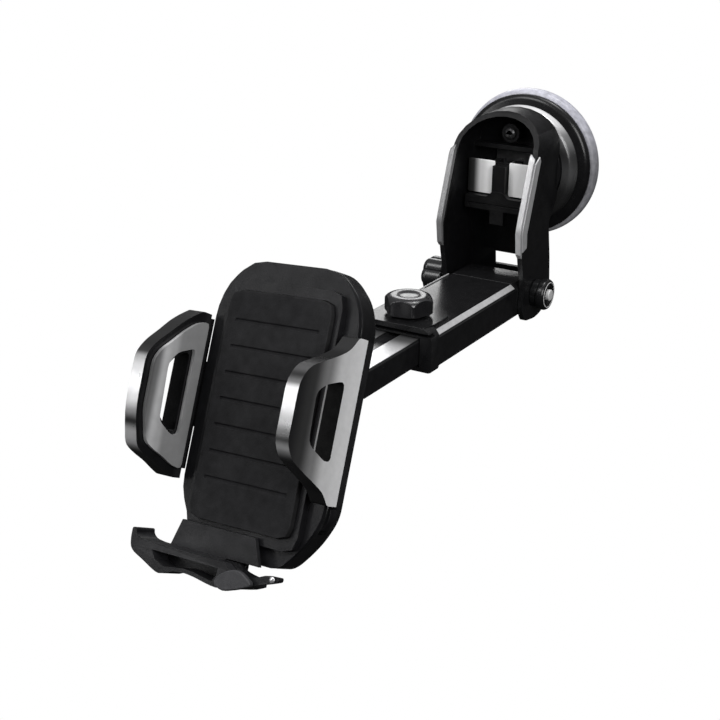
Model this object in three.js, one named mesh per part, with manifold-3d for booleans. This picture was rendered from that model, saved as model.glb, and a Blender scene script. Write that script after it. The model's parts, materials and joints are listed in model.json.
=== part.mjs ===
// Telescopic long-arm suction-cup phone mount. Units mm, +Z up.
// Row frame: the origin is the centre of the suction face, +Y points out of that face.
// Parts are drawn about the arm's hinge axis (the X axis through HINGE) and shifted at the end.
import * as THREE from 'three';
import { mergeVertices } from 'three/addons/utils/BufferGeometryUtils.js';
import Module from 'manifold-3d';

const wasm = await Module();
wasm.setup();

// ---------------------------------------------------------------- driving dimensions
const HINGE = [0, -37, -53];          // arm hinge axis in the row frame
const CUP_Z = 53;                     // cup axis height above the hinge axis
const FACE_Y = 37;                    // suction face, ahead of the hinge axis
const GEL_R = 35, COVER_R = 33, RING_R = 28.4;
const YOKE_W = 42, YOKE_WALL = 2.5;   // yoke over its cheeks, cheek thickness
const ARCH_Z = 66, ARCH_RISE = 15.5;    // spring line and rise of the hood's arch
const TUBE_W = 36.4, TUBE_TOP = 6.6, TUBE_BOT = -9.0, TUBE_FRONT = -90, TUBE_BACK = -13.6;
const CAV_TOP = 5.2, CAV_BOT = -7.6, CAV_HALF = 16;
const INNER_W = 25, INNER_TOP = 4.2, INNER_BOT = -7.3, INNER_FRONT = -140.8, INNER_BACK = -62.3;
const KNOB_Y = -84;
const GRIP_R = 32, GRIP_L = 35;       // inner faces of the right and left clamp ears from the gear's axis
const EAR_T = 5.6, EAR_D = 32, EAR_H = 30;
const BODY_W = 34, BODY_BACK = -15, BODY_FRONT = -1;
const FOOT_L = -13, FOOT_R = -3.6;       // the foot's stem, left of centre
const BALL_R = 8.2, BALL_V = 8.5, BALL_N = -31;
const PINION_R = 6;                   // pitch radius; the racks run 6 mm above and below it

// cradle frame: u across, v up the cradle, n out of its front
const CU = new THREE.Vector3(0.99087425, -0.0970037, 0.09358684).normalize();
const CN0 = new THREE.Vector3(-0.1274705, -0.90006041, 0.41670436);
const CN = CN0.clone().addScaledVector(CU, -CN0.dot(CU)).normalize();
const CV = new THREE.Vector3().crossVectors(CN, CU).normalize();
const CO = new THREE.Vector3(0, -185.85, 1.83);
CO.x = -(CV.x * BALL_V + CN.x * BALL_N);
const BALL = CO.clone().addScaledVector(CV, BALL_V).addScaledVector(CN, BALL_N);

// ---------------------------------------------------------------- solids
function toM(g) {
  g = g.clone();
  for (const k of Object.keys(g.attributes)) if (k !== 'position') g.deleteAttribute(k);
  g = mergeVertices(g, 1e-4);
  const p = g.attributes.position.array;
  let t = Array.from(g.index.array);
  const ok = [];
  for (let i = 0; i < t.length; i += 3) if (t[i] !== t[i + 1] && t[i + 1] !== t[i + 2] && t[i] !== t[i + 2]) ok.push(t[i], t[i + 1], t[i + 2]);
  t = ok;
  let v = 0;
  for (let i = 0; i < t.length; i += 3) {
    const [a, b, c] = [t[i] * 3, t[i + 1] * 3, t[i + 2] * 3];
    v += p[a] * (p[b + 1] * p[c + 2] - p[b + 2] * p[c + 1]) - p[a + 1] * (p[b] * p[c + 2] - p[b + 2] * p[c]) + p[a + 2] * (p[b] * p[c + 1] - p[b + 1] * p[c]);
  }
  if (v < 0) for (let i = 0; i < t.length; i += 3) [t[i + 1], t[i + 2]] = [t[i + 2], t[i + 1]];
  return new wasm.Manifold(new wasm.Mesh({ numProp: 3, vertProperties: Float32Array.from(p), triVerts: Uint32Array.from(t) }));
}
function fromM(m) {
  const q = m.getMesh();
  const n = q.numProp, c = q.vertProperties.length / n, a = new Float32Array(c * 3);
  for (let i = 0; i < c; i++) for (let k = 0; k < 3; k++) a[i * 3 + k] = q.vertProperties[i * n + k];
  const g = new THREE.BufferGeometry();
  g.setAttribute('position', new THREE.BufferAttribute(a, 3));
  g.setIndex(new THREE.BufferAttribute(Uint32Array.from(q.triVerts), 1));
  return g;
}
const sub = (a, ...b) => fromM(b.reduce((m, x) => m.subtract(toM(x)), toM(a)));
const add = (a, ...b) => fromM(b.reduce((m, x) => m.add(toM(x)), toM(a)));
const both = (a, ...b) => fromM(b.reduce((m, x) => m.intersect(toM(x)), toM(a)));

const X = new THREE.Vector3(1, 0, 0), Y = new THREE.Vector3(0, 1, 0), Z = new THREE.Vector3(0, 0, 1);
function put(g, ex, ey, ez, o = [0, 0, 0]) {
  const m = new THREE.Matrix4().makeBasis(ex, ey, ez);
  m.setPosition(new THREE.Vector3(...(o.isVector3 ? o.toArray() : o)));
  const h = g.clone();
  h.applyMatrix4(m);
  return h;
}
const box = (x0, x1, y0, y1, z0, z1) => { const g = new THREE.BoxGeometry(x1 - x0, y1 - y0, z1 - z0); g.translate((x0 + x1) / 2, (y0 + y1) / 2, (z0 + z1) / 2); return g; };
function shapeOf(pts) { const s = new THREE.Shape(); pts.forEach((p, i) => (i ? s.lineTo(p[0], p[1]) : s.moveTo(p[0], p[1]))); s.closePath(); return s; }
// outline in the XY plane, from z0 to z1
const slab = (pts, z0, z1, curve = 8) => { const g = new THREE.ExtrudeGeometry(pts.isShape ? pts : shapeOf(pts), { depth: z1 - z0, bevelEnabled: false, curveSegments: curve, steps: 1 }); g.translate(0, 0, z0); return g; };
// outline in (y, z), from x0 to x1
const sideX = (pts, x0, x1) => put(slab(pts, x0, x1), Y, Z, X);
// outline in (x, z), from y0 to y1
const frontY = (pts, y0, y1) => put(slab(pts, -y1, -y0), X, Z, Y.clone().negate());
// closed loop of (radius, height) turned about an axis
function turn(pts, seg, axis, at = [0, 0, 0]) {
  const g = new THREE.LatheGeometry(pts.concat([pts[0]]).map((p) => new THREE.Vector2(p[0], p[1])), seg);
  return axis === 'y' ? put(g, X, Y, Z, at) : axis === 'x' ? put(g, Y, X, Z.clone().negate(), at) : put(g, X, Z, Y.clone().negate(), at);
}
const rod = (r, a, b, axis, at = [0, 0, 0], seg = 20) => turn([[0, a], [r, a], [r, b], [0, b]], seg, axis, at);
const ringTurn = (ri, ro, a, b, axis, at, seg = 28) => turn([[ri, a], [ro, a], [ro, b], [ri, b]], seg, axis, at);
function rounded(pts, r, n = 3) {
  // polygon with its corners rounded; r is one radius or one for each corner
  const out = [], k = pts.length;
  for (let i = 0; i < k; i++) {
    const p = pts[i], a = pts[(i + k - 1) % k], b = pts[(i + 1) % k], rad = Array.isArray(r) ? r[i] : r;
    const da = [a[0] - p[0], a[1] - p[1]], db = [b[0] - p[0], b[1] - p[1]];
    const la = Math.hypot(...da), lb = Math.hypot(...db), t = Math.min(rad, la * 0.45, lb * 0.45);
    if (t < 0.05) { out.push(p); continue; }
    const A = [p[0] + da[0] / la * t, p[1] + da[1] / la * t], B = [p[0] + db[0] / lb * t, p[1] + db[1] / lb * t];
    for (let j = 0; j <= n; j++) { const s = j / n, q = 1 - s; out.push([q * q * A[0] + 2 * q * s * p[0] + s * s * B[0], q * q * A[1] + 2 * q * s * p[1] + s * s * B[1]]); }
  }
  return out;
}
const mirX = (pts) => pts.map((p) => [-p[0], p[1]]).reverse();
const flipU = (g) => { const h = g.clone(); h.applyMatrix4(new THREE.Matrix4().makeScale(-1, 1, 1)); return fromM(toM(h)); };
const circle = (cx, cy, r, n = 20, a0 = 0, a1 = 2 * Math.PI) => Array.from({ length: n }, (_, i) => { const a = a0 + (a1 - a0) * i / (a1 - a0 > 6.2 ? n : n - 1); return [cx + r * Math.cos(a), cy + r * Math.sin(a)]; });
function lobes(r0, dr, count, n) { return Array.from({ length: n }, (_, i) => { const a = 2 * Math.PI * i / n; const r = r0 + dr * Math.pow(Math.abs(Math.cos(count * a / 2)), 0.8) * 2 - dr; return [r * Math.cos(a), r * Math.sin(a)]; }); }

// ---------------------------------------------------------------- scene
const group = new THREE.Group();
group.name = 'car_phone_mount';
const MAT = {
  black: { color: 0x141415, roughness: 0.35, metalness: 0.0 }, matte: { color: 0x2a2a2b, roughness: 0.6, metalness: 0.0 },
  silver: { color: 0xc4c4c6, roughness: 0.3, metalness: 0.9 }, chrome: { color: 0x77777a, roughness: 0.15, metalness: 1.0 },
  steel: { color: 0x9a9a9c, roughness: 0.35, metalness: 1.0 }, gel: { color: 0xdcdce4, roughness: 0.2, metalness: 0.0 },
  rubber: { color: 0x1c1c1c, roughness: 0.85, metalness: 0.0 }, pom: { color: 0xd8d8d4, roughness: 0.5, metalness: 0.0 },
};
function emit(name, g, m) {
  const clean = fromM(toM(g));
  clean.translate(...HINGE);
  clean.computeVertexNormals();
  const mesh = new THREE.Mesh(clean, new THREE.MeshStandardMaterial({ ...MAT[m], flatShading: true }));
  mesh.name = name;
  group.add(mesh);
}
const cradle = (g) => put(g, CU, CV, CN, CO);
const C = [0, 0, CUP_Z];

// ================================================================ suction cup, about the Y axis through C
emit('gel_pad', turn([[0, 29.6], [33.2, 29.6], [34.5, 30.5], [GEL_R, 32.4], [34.8, 35.0], [34.0, 36.5], [33.0, FACE_Y], [0, FACE_Y]], 40, 'y', C), 'gel');
emit('cup_membrane', turn([[0, 29.3], [31.4, 29.3], [31.4, 28.2], [30.2, 27.1], [6.0, 27.1], [6.0, 22.0], [5.0, 20.9], [0, 20.9]], 40, 'y', C), 'rubber');
emit('cup_cover', turn([[6.7, 25.3], [27.8, 25.3], [31.6, 26.0], [COVER_R, 27.4], [COVER_R, 29.2], [31.9, 29.2], [31.9, 27.9], [30.6, 26.8], [6.7, 26.8]], 40, 'y', C), 'black');
emit('trim_ring', turn([[22.6, 19.9], [26.2, 19.9], [27.6, 21.2], [RING_R, 24.0], [RING_R, 25.0], [22.6, 25.0]], 40, 'y', C), 'chrome');
const stem = sub(turn([[0, 6.3], [2.6, 6.3], [3.2, 6.9], [3.2, 20.6], [0, 20.6]], 20, 'y', C), rod(1.45, -6, 6, 'x', [0, 9.5, CUP_Z], 14));
emit('pull_stem', stem, 'steel');
emit('cross_pin', rod(1.2, -6.9, 6.9, 'x', [0, 9.5, CUP_Z], 14), 'steel');

// ================================================================ yoke (the tall hood that holds the arm)
const HW = YOKE_W / 2, IW = HW - YOKE_WALL;
const arch = (w, zs, rise, z0, n = 12) => { const p = [[-w, z0], [w, z0]]; for (let i = 0; i <= n; i++) { const a = Math.PI * i / n; p.push([w * Math.cos(a), zs + rise * Math.sin(a)]); } return p; };
const sideOut = rounded([[-13.0, -6], [-9.5, -11.5], [2, -13], [10.5, -11.4], [15.5, -5], [17, 2.4], [15.5, 14], [12, 31], [19.6, 41], [19.6, 82.5], [7.5, 82.5], [-4.6, 67.6], [-6.4, 63.4], [-17.6, 31.4], [-16.4, 20], [-12.2, 5]],
  [2, 2, 3, 3, 3, 1, 2, 2, 0, 0, 3, 1, 1, 2, 2, 2], 2);
const hoodOut = both(sideX(sideOut, -HW, HW), frontY(arch(HW, ARCH_Z, ARCH_RISE, -14), -30, 30));
const cavSide = [[-40, -30], [13, -30], [13, -5], [14.4, 2.4], [13, 14], [9.6, 31], [9.6, 36], [17.1, 45], [17.1, 90], [-40, 90]];
const cavity = both(sideX(cavSide, -IW, IW), frontY(arch(IW, ARCH_Z, ARCH_RISE - 2.3, -35), -45, 30));
let yoke = sub(hoodOut, cavity);
yoke = add(yoke, box(-IW - 1, IW + 1, 10.4, 18, 62.7, 64.7), both(rod(4.4, 10.4, 18, 'y', [0, 0, 70.6], 24), frontY(arch(HW - 0.5, ARCH_Z, ARCH_RISE - 0.5, 0), 0, 30)),
  rod(22.3, 18.2, 25.0, 'y', C, 40));
yoke = sub(yoke, rod(6.4, 20.7, 30, 'y', C, 24), rod(3.7, 10, 30, 'y', C, 20), rod(3.2, -30, 30, 'x', [0, 0, 0], 24),
  box(-7.0, 9.6, 6, 25, 6.2, 12.6), rod(1.6, 5, 16, 'y', [0, 0, 70.6], 14), rod(1.3, 12, 22, 'y', [13, 0, 47], 12), rod(1.3, 12, 22, 'y', [-13, 0, 47], 12));
emit('yoke_bracket', yoke, 'black');
// bright angled caps on the cheeks' front edges
for (const [s, nm] of [[1, 'right'], [-1, 'left']]) {
  const edge = [[-6.9, 63.4], [-18.0, 31.6], [-20.2, 32.4], [-19.4, 35.6], [-9.4, 64.6], [-7.6, 66.6]];
  const side = [[-7.6, 66.6], [-9.4, 64.6], [-19.4, 35.6], [-20.2, 32.4], [-18.9, 22.5], [-13.4, 24.6], [-13.8, 31.6], [-2.6, 63.0], [-3.6, 65.6]];
  const g = add(sideX(edge, 18.6, HW + 0.9), sideX([[-18.0, 31.9], [-16.72, 20], [-18.9, 22.5], [-20.2, 31.9], [-20.2, 32.6]], 18.6, HW + 0.9), sideX(side, HW + 0.3, HW + 0.9));
  emit(`yoke_trim_${nm}`, s > 0 ? g : flipU(g), 'silver');
}
emit('cam_plate', sub(box(-9, 9, 15.6, 16.8, 45.3, 61.5), rod(3.7, 14, 18, 'y', C, 20)), 'steel');
// cross-head screws: one at the top of the hood, two behind the lever
const screw = (x, z, yh) => sub(add(turn([[0, yh], [1.7, yh], [2.6, yh + 0.7], [2.6, yh + 1.4], [0, yh + 1.4]], 20, 'y', [x, 0, z]), rod(1.15, yh + 1, yh + 5, 'y', [x, 0, z], 12)),
  box(x - 1.5, x + 1.5, yh - 1, yh + 0.7, z - 0.3, z + 0.3), box(x - 0.3, x + 0.3, yh - 1, yh + 0.7, z - 1.5, z + 1.5));
emit('yoke_screw_top', screw(0, 70.6, 8.8), 'steel');
emit('yoke_screw_right', screw(13, 47, 15.3), 'steel');
emit('yoke_screw_left', screw(-13, 47, 15.3), 'steel');

// suction lever: T-shaped web with a grip bar, cam head about the cross pin
let lever = add(box(-3.2, 3.2, -0.6, 4.2, 42, 57), frontY(rounded([[-16.4, 36], [16.4, 36], [16.4, 42.4], [5.2, 42.4], [2.7, 45], [-2.7, 45], [-5.2, 42.4], [-16.4, 42.4]], 0.6, 1), -1.2, 2.3),
  box(-3.5, 3.5, -1.0, 1.8, 29.5, 36.5), box(-6.4, 6.4, 3.9, 12.2, 48.0, 58.0));
lever = sub(lever, box(-3.6, 3.6, 4.7, 14, 46, 60), rod(1.45, -8, 8, 'x', [0, 9.5, CUP_Z], 14), box(-15, 15, -1.7, -0.8, 38.3, 39.0));
emit('suction_lever', lever, 'black');
emit('lever_panel_right', frontY(rounded([[3.6, 42.8], [17.2, 42.8], [17.2, 58.6], [3.6, 58.6]], 0.5, 1), 2.6, 3.5), 'silver');
emit('lever_panel_left', frontY(rounded([[-17.2, 42.8], [-3.6, 42.8], [-3.6, 58.6], [-17.2, 58.6]], 0.5, 1), 2.6, 3.5), 'silver');

// ================================================================ arm hinge hardware, about the X axis
emit('hinge_bolt', add(rod(2.9, -29.0, 24.2, 'x', [0, 0, 0], 24), rod(2.6, 24.2, 29.4, 'x', [0, 0, 0], 20)), 'steel');
emit('bolt_collar', ringTurn(3.2, 6.4, 21.3, 24.1, 'x', [0, 0, 0], 28), 'black');
emit('bolt_cap', turn([[3.0, 24.4], [7.1, 24.4], [7.3, 25.2], [7.3, 27.2], [6.3, 28.3], [4.4, 28.3], [4.0, 27.4], [3.0, 27.4]], 32, 'x', [0, 0, 0]), 'chrome');
emit('hinge_washer', ringTurn(3.2, 7.2, -22.4, -21.3, 'x', [0, 0, 0], 28), 'steel');
const sideKnob = sub(add(put(slab(lobes(8.0, 0.75, 6, 42), 24.6, 34.2), Y, Z, X), rod(5.6, 22.7, 25, 'x', [0, 0, 0], 24), turn([[0, 34.1], [7.2, 34.1], [6.2, 35.4], [3.5, 35.9], [0, 35.9]], 24, 'x', [0, 0, 0])), rod(3.2, 20, 30.2, 'x', [0, 0, 0], 20));
emit('hinge_knob', flipU(sideKnob), 'chrome');

// ================================================================ outer tube
const tubeSec = [[-TUBE_W / 2, TUBE_BOT + 1], [-TUBE_W / 2 + 1, TUBE_BOT], [TUBE_W / 2 - 1, TUBE_BOT], [TUBE_W / 2, TUBE_BOT + 1], [TUBE_W / 2, 4.4], [15.4, TUBE_TOP], [-15.4, TUBE_TOP], [-TUBE_W / 2, 4.4]];
let outer = sub(frontY(tubeSec, TUBE_FRONT, TUBE_BACK), box(-CAV_HALF, CAV_HALF, -100, 0, CAV_BOT, CAV_TOP), rod(2.7, 4, 8, 'z', [0, KNOB_Y, 0], 20));
emit('outer_tube', outer, 'black');
const cn = [0.618, 0.786];
for (const s of [1, -1]) {
  const q = [[17.55 + cn[0] * 0.3, 4.91 + cn[1] * 0.3], [17.55 + cn[0] * 0.9, 4.91 + cn[1] * 0.9], [15.4 + cn[0] * 0.9, TUBE_TOP + cn[1] * 0.9], [15.4 + cn[0] * 0.3, TUBE_TOP + cn[1] * 0.3]];
  emit(s > 0 ? 'outer_trim_right' : 'outer_trim_left', frontY(s > 0 ? q : mirX(q), TUBE_FRONT, -16), 'silver');
}
// tail block: fills the tube's end and turns on the bolt
let tail = add(both(frontY(tubeSec, -13.3, 14), sideX([[-13.3, TUBE_BOT], [0, TUBE_BOT]].concat(circle(0, 0, 9.0, 12, -Math.PI / 2, Math.PI / 2).slice(1)).concat([[-3, 8.6], [-13.3, TUBE_TOP]]), -20, 20)),
  box(-15.7, 15.7, -24, -13.2, -7.3, 4.9));
tail = sub(tail, rod(3.2, -30, 30, 'x', [0, 0, 0], 24));
emit('tail_block', tail, 'black');
emit('guide_right', box(12.8, 15.7, -89.5, -70, -7.3, 4.9), 'pom');
emit('guide_left', box(-15.7, -12.8, -89.5, -70, -7.3, 4.9), 'pom');

// clamp collar and its tongue, thumb knob and pressure screw
let collar = frontY(rounded([[-18.6, -9.6], [18.6, -9.6], [18.6, 6.0], [15.0, 9.6], [-15.0, 9.6], [-18.6, 6.0]], [1.5, 1.5, 3, 3, 3, 3], 2), -97.5, -90.3);
collar = add(collar, put(slab(rounded([[-14.2, -96.5], [14.2, -96.5], [15.6, -90], [15.6, -76], [11, -71], [-11, -71], [-15.6, -76], [-15.6, -90]], 1.5, 2), 6.95, 9.6), X, Y, Z));
collar = sub(collar, box(-12.9, 12.9, -110, -80, -7.7, 5.2), box(-25, 25, -98, -93.6, 5.9, 7.3));
collar = sub(collar, rod(3.1, 0, 20, 'z', [0, KNOB_Y, 0], 24));
emit('clamp_collar', collar, 'black');
emit('pressure_screw', turn([[0, 5.35], [2.3, 5.35], [2.5, 5.6], [2.5, 14.0], [0, 14.0]], 20, 'z', [0, KNOB_Y, 0]), 'steel');
const domeKnob = sub(both(add(slab(lobes(10.1, 0.6, 6, 42), 10.6, 20), rod(7.2, 9.9, 11.5, 'z', [0, 0, 0], 24)), turn([[0, 9.9], [9.6, 9.9], [10.8, 11.4], [10.8, 15.2], [9.3, 17.6], [6.4, 18.8], [3.2, 18.4], [0, 18.2]], 28, 'z', [0, 0, 0])), rod(2.8, 9, 14.3, 'z', [0, 0, 0], 20));
emit('thumb_knob', put(domeKnob, X, Y, Z, [0, KNOB_Y, 0]), 'chrome');

// ================================================================ inner tube
let inner = sub(frontY(rounded([[-INNER_W / 2, INNER_BOT], [INNER_W / 2, INNER_BOT], [INNER_W / 2, INNER_TOP], [-INNER_W / 2, INNER_TOP]], 0.7, 1), INNER_FRONT, INNER_BACK), box(-11, 11, -136, 0, INNER_BOT + 1.5, INNER_TOP - 1.8),
  box(-3, 3, -200, 0, INNER_TOP - 0.8, 9));
emit('inner_tube', inner, 'black');
emit('inner_strip_right', box(3.4, 12.2, INNER_FRONT + 0.6, INNER_BACK - 0.4, INNER_TOP + 0.25, INNER_TOP + 0.65), 'silver');
emit('inner_strip_left', box(-12.2, -3.4, INNER_FRONT + 0.6, INNER_BACK - 0.4, INNER_TOP + 0.25, INNER_TOP + 0.65), 'silver');
emit('end_stop', box(-15.6, 15.6, INNER_BACK + 0.3, INNER_BACK + 4.5, INNER_BOT, INNER_TOP + 0.4), 'pom');
const FL = INNER_FRONT - 0.3 - BALL.y;
const stud = turn([[0, -BALL_R]].concat(Array.from({ length: 9 }, (_, i) => { const a = -Math.PI / 2 + (i + 1) * (Math.PI * 0.845) / 9; return [BALL_R * Math.cos(a), BALL_R * Math.sin(a)]; })).concat([[3.7, 7.7], [3.7, FL - 0.9], [5.5, FL - 0.5], [5.5, FL], [0, FL]]), 24, 'y', [0, BALL.y, BALL.z]);
emit('ball_stud', stud, 'chrome');

// ================================================================ cradle (u, v, n), drawn flat and then placed
const bodyOut = rounded([[-BODY_W, -36], [-29.4, -44.9], [-24.1, -51.6], [-18.6, -57.2], [18.6, -57.2], [24.1, -51.6], [29.4, -44.9], [BODY_W, -36], [BODY_W, 35], [30.5, 44.5], [20.5, 54], [-20.5, 54], [-30.5, 44.5], [-BODY_W, 35]],
  [6, 6, 5, 3, 3, 5, 6, 6, 6, 7, 8, 8, 7, 6], 2);
const inset = (d) => bodyOut.map(([x, y]) => { const l = Math.hypot(x, y); return [x * (l - d) / l, y * (l - d) / l]; });
let back = add(slab(inset(4.5), BODY_BACK, -11.5), slab(inset(1.6), -13.2, -11.2), slab(bodyOut, -11.3, -3.2));
// rack bay, open at both sides; foot channel, open at the bottom; gear post
const cs = [[21, 30, 'top_right'], [-21, 30, 'top_left'], [21, -24, 'low_right'], [-21, -24, 'low_left']];
back = sub(back, ...cs.map(([u, v]) => rod(1.5, -8.6, 0, 'z', [u, v, 0], 12)));
back = sub(back, box(-50, 50, -13.6, 13.6, -9.6, 0), box(FOOT_L - 0.4, FOOT_R + 0.4, -70, -18, -13.3, -10.4));
back = add(back, rod(2.6, -12, -3.4, 'z', [0, 0, 0], 20));
// hollows above and below the rack bay, with bosses for the screws and walls round the button
const boss = (u, v) => rod(3.3, -12, 1, 'z', [u, v, 0], 16);
back = sub(back, sub(both(slab(inset(3.2), -9.4, 0), box(-40, 40, 15.6, 60, -9.4, 0)), boss(21, 30), boss(-21, 30)),
  sub(both(slab(inset(3.2), -9.4, 0), box(-40, 40, -60, -15.6, -9.4, 0)), boss(21, -24), boss(-21, -24), box(12, 40, -43.5, -28.5, -10, 1)));
// release button slot, low on the right edge
back = sub(back, box(22, 50, -41.5, -30.5, -8.6, -4.0), box(14, 23, -40.5, -31.5, -8.6, -4.0));
// socket for the ball
const bz = BALL_N;
const socket = sub(ringTurn(0.0, 11.2, bz + 0.2, -14.6, 'z', [0, BALL_V, 0], 28), turn([[0, -10.25]].concat(Array.from({ length: 9 }, (_, i) => { const a = -Math.PI / 2 + (i + 1) * Math.PI / 10; return [10.25 * Math.cos(a), 10.25 * Math.sin(a)]; })).concat([[0, 10.25]]), 28, 'z', [0, BALL_V, bz]));
back = add(back, socket);
emit('cradle_back', cradle(back), 'black');
let front = sub(slab(bodyOut, -2.9, BODY_FRONT), rod(2.9, -5, 2, 'z', [0, 0, 0], 16));
front = add(front, slab(rounded([[-27, -50], [27, -50], [27, 46], [-27, 46]], 6, 2), -1.5, 1.8));
front = sub(front, slab(rounded([[-24.5, -46], [24.5, -46], [24.5, 42], [-24.5, 42]], 5, 2), 0.6, 3), ...cs.map(([u, v]) => rod(1.5, -5, 2, 'z', [u, v, 0], 12)));
emit('cradle_front', cradle(front), 'black');
let padS = slab(rounded([[-24.2, -45.7], [24.2, -45.7], [24.2, 41.7], [-24.2, 41.7]], 5, 2), 0.9, 3.9);
padS = sub(padS, ...[-30, -20, -10, 0, 10, 20, 30].map((v) => box(-20, 20, v - 0.6, v + 0.6, 3.2, 5)), ...cs.map(([u, v]) => rod(2.8, 0.5, 2.1, 'z', [u, v, 0], 16)));
emit('back_pad', cradle(padS), 'rubber');
const cscrew = (u, v) => add(rod(2.4, 0.8, 1.8, 'z', [u, v, 0], 16), rod(1.2, -8.0, 1.0, 'z', [u, v, 0], 12));
for (const [u, v, nm] of cs) emit(`cradle_screw_${nm}`, cradle(cscrew(u, v)), 'steel');

// friction seats: two shells about the ball's centre, open towards the neck
const zone = (ri, ro, a0, a1, n = 6) => { const p = []; for (let i = 0; i <= n; i++) { const a = a0 + (a1 - a0) * i / n; p.push([ro * Math.sin(a), ro * Math.cos(a)]); } for (let i = n; i >= 0; i--) { const a = a0 + (a1 - a0) * i / n; p.push([ri * Math.sin(a), ri * Math.cos(a)]); } return p; };
emit('ball_seat_inner', cradle(turn(zone(8.4, 9.05, 0.35, 1.75), 24, 'z', [0, BALL_V, bz])), 'pom');
emit('ball_seat_outer', cradle(turn(zone(9.3, 9.95, 0.35, 1.75), 24, 'z', [0, BALL_V, bz])), 'pom');
// locking ring over the socket
const nutOut = put(slab(lobes(13.0, 0.3, 12, 48), bz - 7.6, bz + 7.4), X, Y, Z, [0, BALL_V, 0]);
const nutIn = turn([[0, bz - 9], [11.6, bz - 9], [8.0, bz - 5.4], [8.0, bz - 4.6], [10.4, bz - 2.0], [11.5, bz - 0.5], [11.5, bz + 12], [0, bz + 12]], 28, 'z', [0, BALL_V, 0]);
emit('ball_nut', cradle(sub(both(nutOut, turn([[0, bz - 7.6], [12.3, bz - 7.6], [13.6, bz - 5.8], [13.6, bz + 7.4], [0, bz + 7.4]], 28, 'z', [0, BALL_V, 0])), nutIn)), 'black');

// clamp ears: plate with a window, standing forward of the body
const earOut = rounded([[0.2, EAR_H], [5, EAR_H + 0.2], [8.5, 25.2], [14, 22.3], [21, 19.5], [28.2, 16.6], [EAR_D, 10.4], [EAR_D, -10.6], [28.4, -16.0], [20, -20.3], [15, -22.6], [9.0, -25.6], [5.2, -EAR_H - 0.2], [0.2, -EAR_H]],
  [0, 1, 4, 3, 3, 5, 6, 6, 5, 3, 3, 4, 1, 0], 3);
const earWin = rounded([[8.4, 14.2], [8.4, -14.6], [11.5, -14.8], [21.4, -9.6], [22.3, 8.4], [18, 11.6]], [3, 2.5, 2, 3, 3, 3], 3);
// the left ear stands further out and reaches lower than the right one
const earOutL = rounded([[0.2, 30.8], [5, 31.2], [9.8, 28.8], [15.2, 25.6], [21.5, 20.4], [27.2, 16.2], [31.6, 10.8], [31.4, -9.8], [27.0, -23.4], [22.0, -26.0], [14.3, -28.9], [9.4, -31.4], [5.2, -33.2], [0.2, -33.2]],
  [0, 1, 3, 3, 3, 4, 5, 6, 4, 3, 3, 3, 1, 0], 3);
const earWinL = rounded([[8.4, 15.2], [8.4, -15.6], [11.5, -15.8], [18.6, -11.0], [19.4, 8.2], [15.6, 12.4]], [3, 2.5, 2, 3, 3, 3], 3);
const flare = (g, grip) => { const h = g.clone(), p = h.attributes.position; for (let i = 0; i < p.count; i++) if (p.getX(i) > grip + 2) p.setX(i, p.getX(i) + 2.2 * Math.min(1, Math.max(0, (EAR_D - p.getZ(i)) / EAR_D))); return h; };
const CX = new THREE.Vector3(0, 0, 1), CY = new THREE.Vector3(0, 1, 0), CZ = new THREE.Vector3(-1, 0, 0);
const plateU = (pts, u0, u1) => put(slab(pts, -u1, -u0), CX, CY, CZ); // outline in (n, v), from u0 to u1
const ear = flare(fromM(toM(sub(plateU(earOut, GRIP_R, GRIP_R + EAR_T), plateU(earWin, 20, 60)))), GRIP_R);
const earL = flare(fromM(toM(sub(plateU(earOutL, GRIP_L, GRIP_L + EAR_T), plateU(earWinL, 20, 60)))), GRIP_L);
const earPad = sub(plateU(rounded([[2.5, 24], [8.6, 22.5], [20, 17.6], [26, 13.6], [28.6, 8.6], [28.6, -9], [26, -13.2], [19.4, -17.4], [8.6, -22.5], [2.5, -24]], 2, 2), GRIP_R - 1.7, GRIP_R - 0.3), plateU(rounded([[7.4, 15.6], [7.4, -16.0], [12, -16.2], [22.6, -10.4], [23.5, 9.2], [18.6, 13.0]], 2, 2), 20, 60));
const earPadL = sub(plateU(rounded([[2.5, 27.5], [8.6, 26.2], [14.6, 22.4], [20.6, 17.4], [25.8, 13.4], [28.4, 9.2], [28.2, -9.0], [24.4, -20.8], [20.8, -23.0], [13.2, -26.0], [8.0, -28.6], [2.5, -29.6]], 2, 2), GRIP_L - 1.7, GRIP_L - 0.3), plateU(rounded([[7.4, 16.6], [7.4, -17.0], [12, -17.2], [19.6, -12.4], [20.6, 9.2], [16.6, 13.8]], 2, 2), 20, 60));
// arm: upright strip behind the ear, web through the side of the body, rack bar inside
const gearTooth = (w0, w1, h) => [[-w0 / 2, 0], [w0 / 2, 0], [w1 / 2, h], [-w1 / 2, h]];
function armFor() {
  // right arm: its rack lies below the gear and reaches across to the left
  let a = add(box(36.6, 39.6, -29.4, 29.4, -3.6, -0.1), frontY([[13, -6.4], [35.6, -6.4], [38.8, -3.2], [38.8, -1.0], [36.8, -1.0], [36.8, -3.3], [13, -3.3]], -12.8, 12.8), box(-21.5, 30, -12.8, -7.4, -9.2, -4.2));
  a = sub(a, box(12, 28.2, -6.6, 14, -10, -3));
  const teeth = [];
  const m = Math.PI;
  for (let k = -7; k <= 2; k++) { const u = (k + 0.5) * m; if (u > -20.8 && u < 14) teeth.push(put(slab(gearTooth(1.25, 0.7, 2.15), -9.0, -4.4), new THREE.Vector3(1, 0, 0), new THREE.Vector3(0, 1, 0), new THREE.Vector3(0, 0, 1), [u, -7.5, 0])); }
  return add(a, ...teeth);
}
const armR = armFor();
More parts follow.
